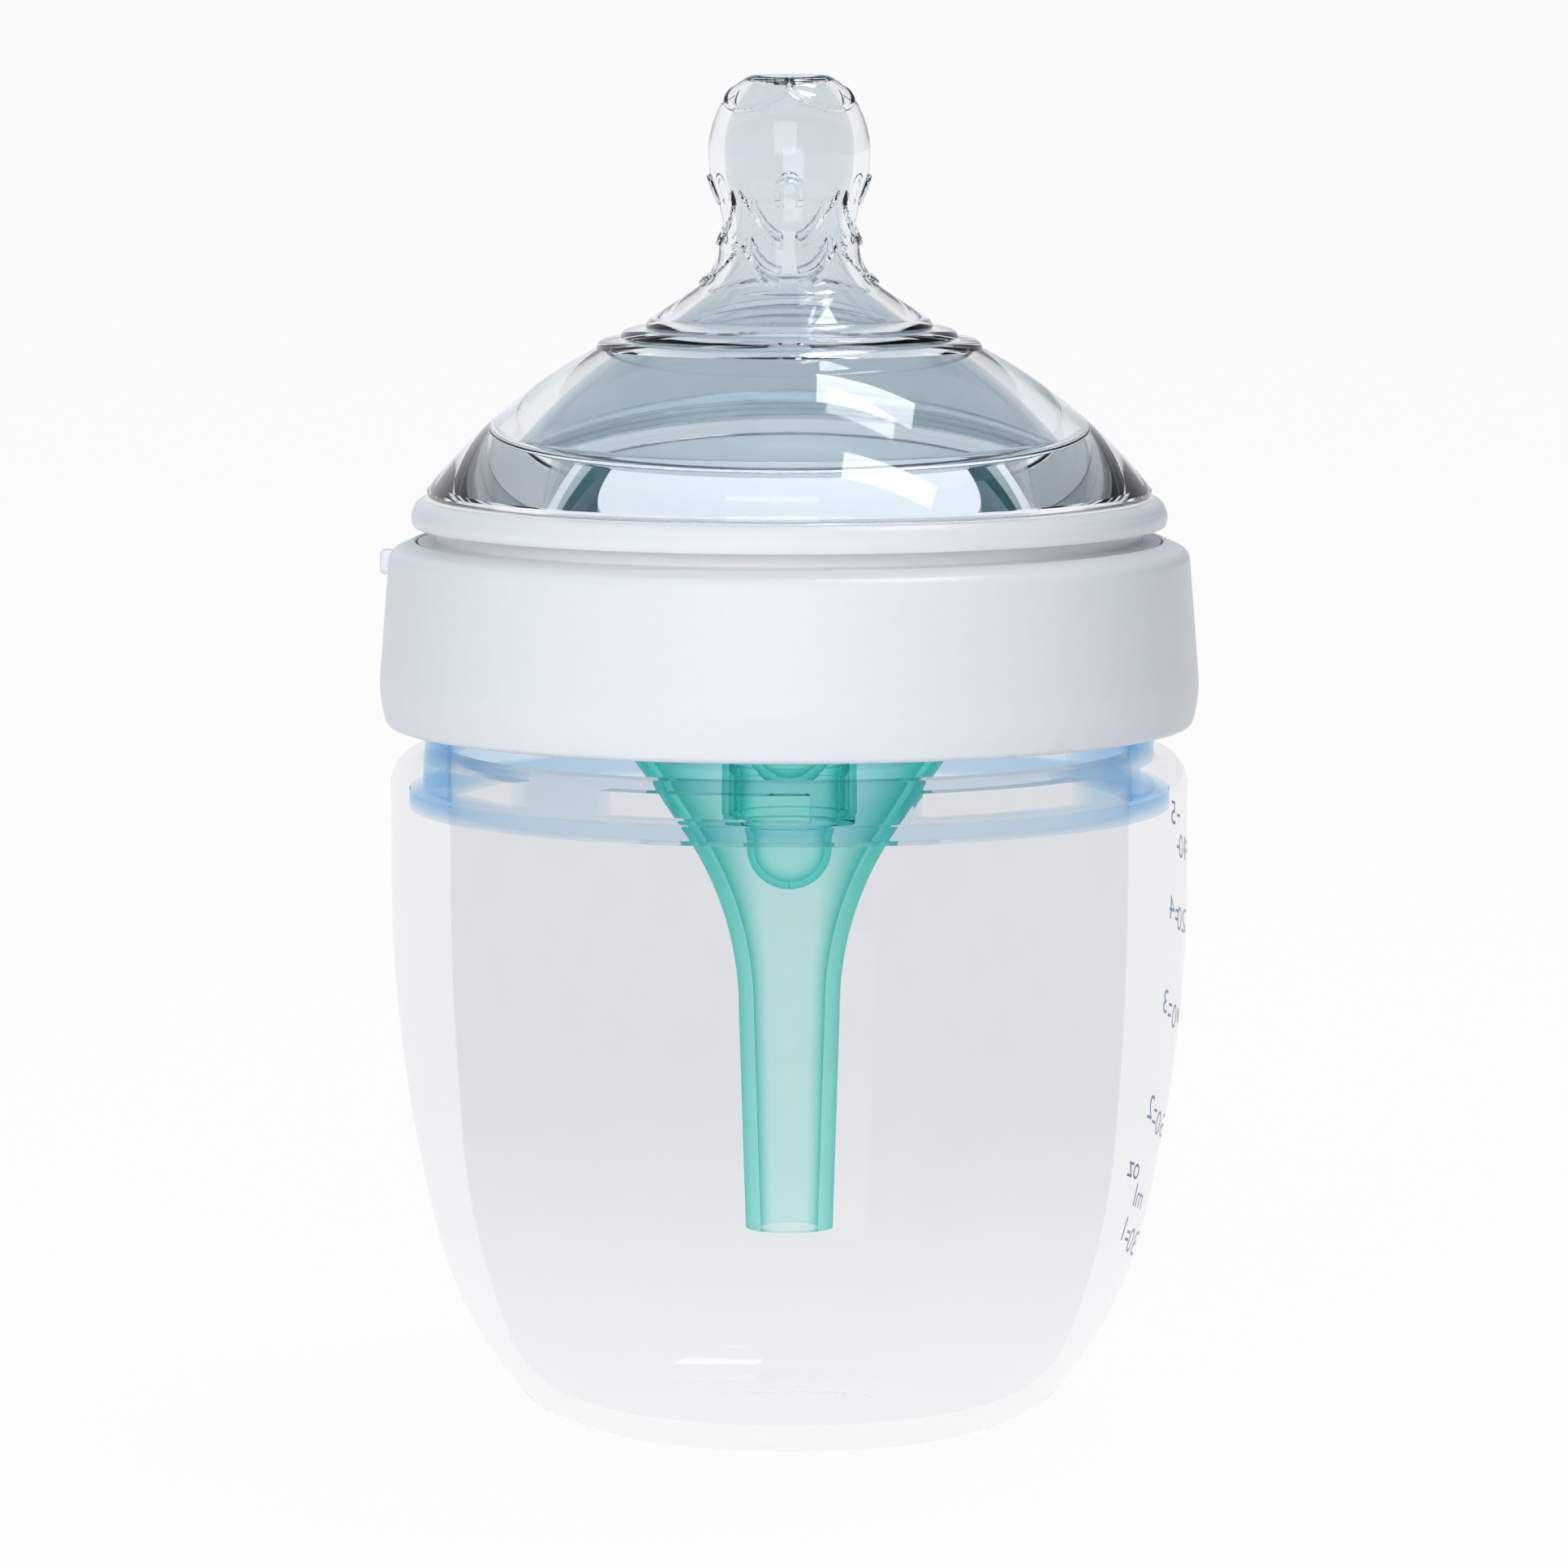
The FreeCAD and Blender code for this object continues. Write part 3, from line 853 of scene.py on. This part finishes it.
bead = finish_mesh("bead_ring", bm, "head", collar_white)
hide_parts("teat_ring")

# %% [markdown]
# The vent is a funnel with a long tube that flares along one large arc. A cone with a subdivided bend
# could stand for it. The arc was chosen because both sides of the wall then stay parallel, which clear
# plastic shows.

# %% Funnel and tube
flare_r, flare_turn, flare_z = 30.0, math.radians(34.75), 39.0
tube_in, tube_out, tube_z = 2.7, 4.1, 18.2
throat_in, throat_out = 3.35, 4.75
bowl_in, bowl_out, bowl_z = 16.2, 17.6, 80.0
outer_run, inner_run = 11.0, 10.6
flare_in = flare_r + throat_out - throat_in


def flare_place(turned):
    """Place on the inside of the flare, after so much of its turn."""
    return throat_in + flare_in * (1 - math.cos(turned)), flare_z + flare_in * math.sin(turned)


def along(start, run):
    """Place on the straight cone above the flare, so many millimetres on."""
    return start[0] + run * math.sin(flare_turn), start[1] + run * math.cos(flare_turn)


flare_end = flare_place(flare_turn)
section = Outline(tube_in, tube_z)
section.line(tube_out, tube_z)
section.line(throat_out, flare_z)
section.heading = math.pi / 2
section.turn(flare_r, -math.degrees(flare_turn))
section.line(*along(section.points[-1], outer_run))
section.arc((17.25, 67.0), (bowl_out, 69.0))
section.line(bowl_out, bowl_z)
section.line(bowl_in, bowl_z)
section.line(bowl_in, 69.3)
section.arc((15.9, 67.6), along(flare_end, inner_run))
section.line(*flare_end)
section.arc(flare_place(flare_turn / 2), flare_place(0))
bm = bmesh.new()
funnel_strips = 192
spin_into(bm, section.points, even_angles(funnel_strips))
print("the flare ends at radius %.1f" % flare_end[0])

# %% [markdown]
# The funnel's flange carries six milk ports and a skirt that centres it in the neck. It lies hidden
# under the plate, but its ports show through the teat, so it is laid out in blocks and added to the
# same mesh.

# %% Flange of the funnel
port_count, port_angle = 6, math.radians(44.0)
port_strips, rib_strips = 20, 8
port_angles = split_angles(0.0, port_count, port_angle, port_strips, rib_strips)


def flange_filled(i, k, j):
    if k == 0:
        return i == 3
    return i != 1 or j % (port_strips + rib_strips) >= port_strips


flange_radii = (17.2, 18.9, 23.1, 30.2, 31.3, 34.2)
flange_heights = (75.45, 78.65, bowl_z)
blocks_into(bm, flange_radii, flange_heights, port_angles, flange_filled)
funnel = finish_mesh("funnel_tube", bm, "head", vent_teal)
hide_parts("vent_reservoir")
funnel.visible_shadow = False

# %% [markdown]
# The sleeve hangs under the plate and carries the valve, and a cup with a round foot hangs inside it.
# They could be two pieces, but they are moulded as one, so one outline runs up the cup, under the hub
# and round the sleeve.

# %% Sleeve and cup
cup_in, cup_out, cup_z = 3.4, 4.2, 60.2
sleeve_in, sleeve_out = 5.7, 6.35
hub_r, hub_low, hub_top = 7.0, 78.75, 79.95
section = Outline(0, cup_z, step=0.2)
section.turn(cup_out, 90)
section.line(cup_out, hub_low)
section.line(sleeve_in, hub_low)
section.line(sleeve_in, sleeve_z)
section.line(sleeve_out, sleeve_z)
section.line(sleeve_out, hub_low)
section.line(hub_r, hub_low)
section.line(hub_r, hub_top)
section.line(cup_in, hub_top)
section.line(cup_in, cup_z + cup_out)
section.turn(cup_in, -90)
bm = bmesh.new()
spin_into(bm, section.points, even_angles(hidden_strips))
sleeve = finish_mesh("air_sleeve", bm, "head", vent_teal)
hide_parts("vent_sleeve")
sleeve.visible_shadow = False

# %% [markdown]
# The plate closes the funnel under the teat. It is flat, with ports whose edges are already clean in
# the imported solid, so there is nothing to gain from a new mesh: the solid is shown, with the white
# finish.

# %% Plate
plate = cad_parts["vent_plate"]
plate.data.materials.clear()
plate.data.materials.append(collar_white)
plate.data.set_sharp_from_angle(angle=math.radians(sharp_angle))
print("plate", len(plate.data.vertices), "points")

# %% [markdown]
# The volume scale is printed on the outside of the body, so it reads mirrored through the bottle from
# the front. A printed picture would need unwrapping. Here thin meshes are wrapped round the belly: this
# finds the belly's radius at a height and lays a flat mesh on it.

# %% Wrap helper
ink_lift = 0.03


def ink(name, colour):
    """Printed ink: a slightly uneven coat."""
    return moulded(name, colour, 0.35, ripple=0.004, scale=1400.0, spread=0.05)


ounce_ink = ink("ounce_ink", (0.01, 0.30, 0.56))
litre_ink = ink("litre_ink", (0.01, 0.08, 0.38))
belly_line = body_outer[::-1]


def belly_radius(z):
    for (r1, z1), (r0, z0) in zip(belly_line, belly_line[1:]):
        if z0 <= z <= z1:
            return r0 + (r1 - r0) * (z - z0) / max(z1 - z0, 1e-9)
    return body_r


def wrap_into(bm, flat, azimuth, z, material_index):
    """Lay a flat mesh (millimetres, x along, y up) on the belly at an azimuth from the front."""
    middle = front + math.radians(azimuth)
    places = {}
    for vert in flat.verts:
        r = belly_radius(z + vert.co.y) + ink_lift
        a = middle + vert.co.x / r
        places[vert] = bm.verts.new((r * math.cos(a) * mm, r * math.sin(a) * mm, (z + vert.co.y) * mm))
    for face in flat.faces:
        made = bm.faces.new([places[vert] for vert in face.verts])
        made.material_index = material_index


print("belly radius at 40 mm: %.2f" % belly_radius(40))

# %% [markdown]
# A figure starts as a text object, which is easy to change, and becomes a mesh so that it can be bent.
# A tick is a short bar with a few strips along it, because a single face would cut through the round
# belly.

# %% Figures and ticks
capital_share = 0.7


def figure(text, height):
    curve = bpy.data.curves.new("figure", "FONT")
    curve.body = text
    curve.size = height / capital_share
    curve.align_x = "CENTER"
    curve.align_y = "CENTER"
    curve.resolution_u = 4
    letters = bpy.data.objects.new("figure", curve)
    bpy.context.collection.objects.link(letters)
    bpy.context.view_layer.update()
    graph = bpy.context.evaluated_depsgraph_get()
    mesh = bpy.data.meshes.new_from_object(letters.evaluated_get(graph))
    flat = bmesh.new()
    flat.from_mesh(mesh)
    bpy.data.objects.remove(letters)
    bpy.data.curves.remove(curve)
    bpy.data.meshes.remove(mesh)
    return flat


def bar(width, height):
    flat = bmesh.new()
    bmesh.ops.create_grid(flat, x_segments=6, y_segments=1, size=0.5)
    for vert in flat.verts:
        vert.co.x *= width
        vert.co.y *= height
    return flat


print("text of size 1 has capitals of", capital_share)

# %% [markdown]
# The ounces are in sky blue and the millilitres in navy, each with a tick at its own height. An Array
# modifier would space them evenly. The hollow narrows downwards, so the heights are uneven and are
# written down.

# %% Volume scale
ounce_azimuth, tick_azimuth, litre_azimuth = 105.4, 102.9, 99.0
tick_size = (1.1, 0.28)
figure_height, unit_height = 2.3, 2.2
ounces = (("5", 56.4), ("4", 47.3), ("3", 38.3), ("2", 28.2), ("1", 16.6))
litres = (("140", 53.4), ("120", 46.5), ("90", 37.3), ("60", 27.1), ("30", 15.9))
units = (("oz", 107.6, 22.3), ("ml", 102.4, 19.9))
prints = []
for marks, azimuth, ink_index in ((ounces, ounce_azimuth, 0), (litres, litre_azimuth, 1)):
    for text, z in marks:
        prints.append((figure(text, figure_height), azimuth, z, ink_index))
        prints.append((bar(*tick_size), tick_azimuth, z, ink_index))
for text, azimuth, z in units:
    prints.append((figure(text, unit_height), azimuth, z, 1))
bm = bmesh.new()
for flat, azimuth, z, ink_index in prints:
    wrap_into(bm, flat, azimuth, z, ink_index)
    flat.free()
scale_print = finish_mesh("volume_scale", bm, "bottle", ounce_ink)
scale_print.data.materials.append(litre_ink)

# %% [markdown]
# The bottle stands on a wide white floor. A plain white one turns grey where the light falls off. This
# one is bright to the camera and to rays that come through or off the bottle, and matte to all other
# light, so it keeps a soft shadow. The helper tells which rays those are.

# %% Floor
floor_half = 12
floor_gap = 0.02
floor_mesh = bpy.data.meshes.new("floor")
bm = bmesh.new()
bmesh.ops.create_grid(bm, x_segments=8, y_segments=8, size=floor_half)
bm.to_mesh(floor_mesh)
bm.free()
floor = bpy.data.objects.new("floor", floor_mesh)
bpy.context.collection.objects.link(floor)
floor.location.z = -floor_gap * mm


def seen_by(tree, rays):
    """1 for the named kinds of ray, and 0 for the rest."""
    path = tree.nodes.new("ShaderNodeLightPath")
    value = path.outputs[rays[0]]
    for ray in rays[1:]:
        either = tree.nodes.new("ShaderNodeMath")
        either.operation = "MAXIMUM"
        tree.links.new(value, either.inputs[0])
        tree.links.new(path.outputs[ray], either.inputs[1])
        value = either.outputs[0]
    return value


print("floor", tuple(floor.dimensions))

# %% [markdown]
# The floor's finish mixes a glow with a matte white. A glow alone would show no shadow, and matte white
# alone would be grey, so nearly all of what the camera sees is glow and the small rest carries the
# shadow.

# %% Finish of the floor
glow_share = 0.95
floor_white = bpy.data.materials.new("floor_white")
floor_white.use_nodes = True
tree = floor_white.node_tree
nodes, links = tree.nodes, tree.links
nodes.clear()
output = nodes.new("ShaderNodeOutputMaterial")
mix = nodes.new("ShaderNodeMixShader")
matte = nodes.new("ShaderNodeBsdfDiffuse")
matte.inputs["Color"].default_value = (0.9, 0.9, 0.9, 1)
glow = nodes.new("ShaderNodeEmission")
share = nodes.new("ShaderNodeMath")
share.operation = "MULTIPLY"
share.inputs[1].default_value = glow_share
links.new(seen_by(tree, ("Is Camera Ray", "Is Transmission Ray", "Is Glossy Ray")), share.inputs[0])
links.new(share.outputs[0], mix.inputs["Fac"])
links.new(matte.outputs[0], mix.inputs[1])
links.new(glow.outputs[0], mix.inputs[2])
links.new(mix.outputs[0], output.inputs["Surface"])
floor_mesh.materials.append(floor_white)
print("floor glow", glow_share)

# %% [markdown]
# The room is white round the horizon and grey overhead, and darker on the right. A photographed sky
# could light the bottle, but plain ramps are easier to steer: clear pieces show what stands round them,
# and the grey gives them their edges.

# %% Room helper
world = bpy.data.worlds.new("studio")
bpy.context.scene.world = world
world.use_nodes = True
tree = world.node_tree
nodes, links = tree.nodes, tree.links
nodes.clear()
output = nodes.new("ShaderNodeOutputWorld")
coords = nodes.new("ShaderNodeTexCoord")
split = nodes.new("ShaderNodeSeparateXYZ")
links.new(coords.outputs["Generated"], split.inputs["Vector"])


def sky(axis, stops):
    """Room that changes along one axis: stops are (place from -1 to 1, colour)."""
    place = nodes.new("ShaderNodeMapRange")
    place.inputs["From Min"].default_value = -1
    links.new(split.outputs[axis], place.inputs["Value"])
    ramp = nodes.new("ShaderNodeValToRGB")
    while len(ramp.color_ramp.elements) < len(stops):
        ramp.color_ramp.elements.new(0.5)
    for element, (at, colour) in zip(ramp.color_ramp.elements, stops):
        element.position = (at + 1) / 2
        element.color = (*colour, 1)
    links.new(place.outputs["Result"], ramp.inputs["Fac"])
    return ramp.outputs["Color"]


def background(colour):
    shader = nodes.new("ShaderNodeBackground")
    links.new(colour, shader.inputs["Color"])
    return shader.outputs[0]


print("room", world.name)

# %% [markdown]
# Two rooms are mixed. The lit one shines on the bottle and shows in reflections. The one that the
# camera sees, also through clear walls, is white low down. The background then stays white while the
# lamps stay at a plain level.

# %% Room
height = sky("Z", ((0.1, (0.95, 0.97, 1.0)), (0.6, (0.30, 0.37, 0.43))))
across = sky("X", ((-0.9, (0.62, 0.64, 0.68)), (-0.3, (1.0, 1.0, 1.0)),
                   (0.15, (0.72, 0.73, 0.75)), (0.8, (0.06, 0.10, 0.14))))
lit = nodes.new("ShaderNodeMixRGB")
lit.blend_type = "MULTIPLY"
lit.inputs["Fac"].default_value = 1
links.new(height, lit.inputs[1])
links.new(across, lit.inputs[2])
seen_sky = sky("Z", ((0.3, (1.0, 1.0, 1.0)), (0.75, (0.62, 0.69, 0.75))))
mix = nodes.new("ShaderNodeMixShader")
links.new(seen_by(tree, ("Is Camera Ray", "Is Transmission Ray")), mix.inputs["Fac"])
links.new(background(lit.outputs["Color"]), mix.inputs[1])
links.new(background(seen_sky), mix.inputs[2])
links.new(mix.outputs[0], output.inputs["Surface"])
print("room nodes", len(nodes))

# %% [markdown]
# A large soft lamp lights the bottle from the front, and two smaller ones hang overhead. Point lamps
# would give hard dots. The overhead ones leave the two bright windows on the teat's dome, and the front
# one is hidden from reflections, so that it doesn't print a square on the collar.

# %% Lamps
lamp_aim = Vector((0, 0, 0.07))
key_power, top_power = 5.0, 1.5


def softbox(name, place, size, power):
    data = bpy.data.lights.new(name, "AREA")
    data.shape = "RECTANGLE"
    data.size = size[0]
    data.size_y = size[1]
    data.energy = power
    lamp = bpy.data.objects.new(name, data)
    bpy.context.collection.objects.link(lamp)
    lamp.location = place
    lamp.rotation_euler = (lamp_aim - lamp.location).to_track_quat("-Z", "Y").to_euler()
    return lamp


key = softbox("key_softbox", Vector((-0.12, -0.95, 0.4)), (0.7, 0.7), key_power)
key.visible_glossy = False
for name, place, size in (("top_softbox_back", (0.215, 0.311, 0.98), (0.28, 0.18)),
                          ("top_softbox_front", (0.325, -0.068, 0.99), (0.32, 0.12))):
    lamp = softbox(name, Vector(place), size, top_power)
    lamp.rotation_euler = (0, 0, 0)
print("lamps", len(bpy.data.lights))

# %% [markdown]
# Nested clear walls need many bounces, or they turn dark, so the limits go up. The view is Standard,
# which shows a colour as it is written.

# %% Render settings
clear_bounces = 32
bpy.context.scene.view_settings.view_transform = "Standard"
bpy.context.scene.cycles.max_bounces = clear_bounces
bpy.context.scene.cycles.transmission_bounces = clear_bounces
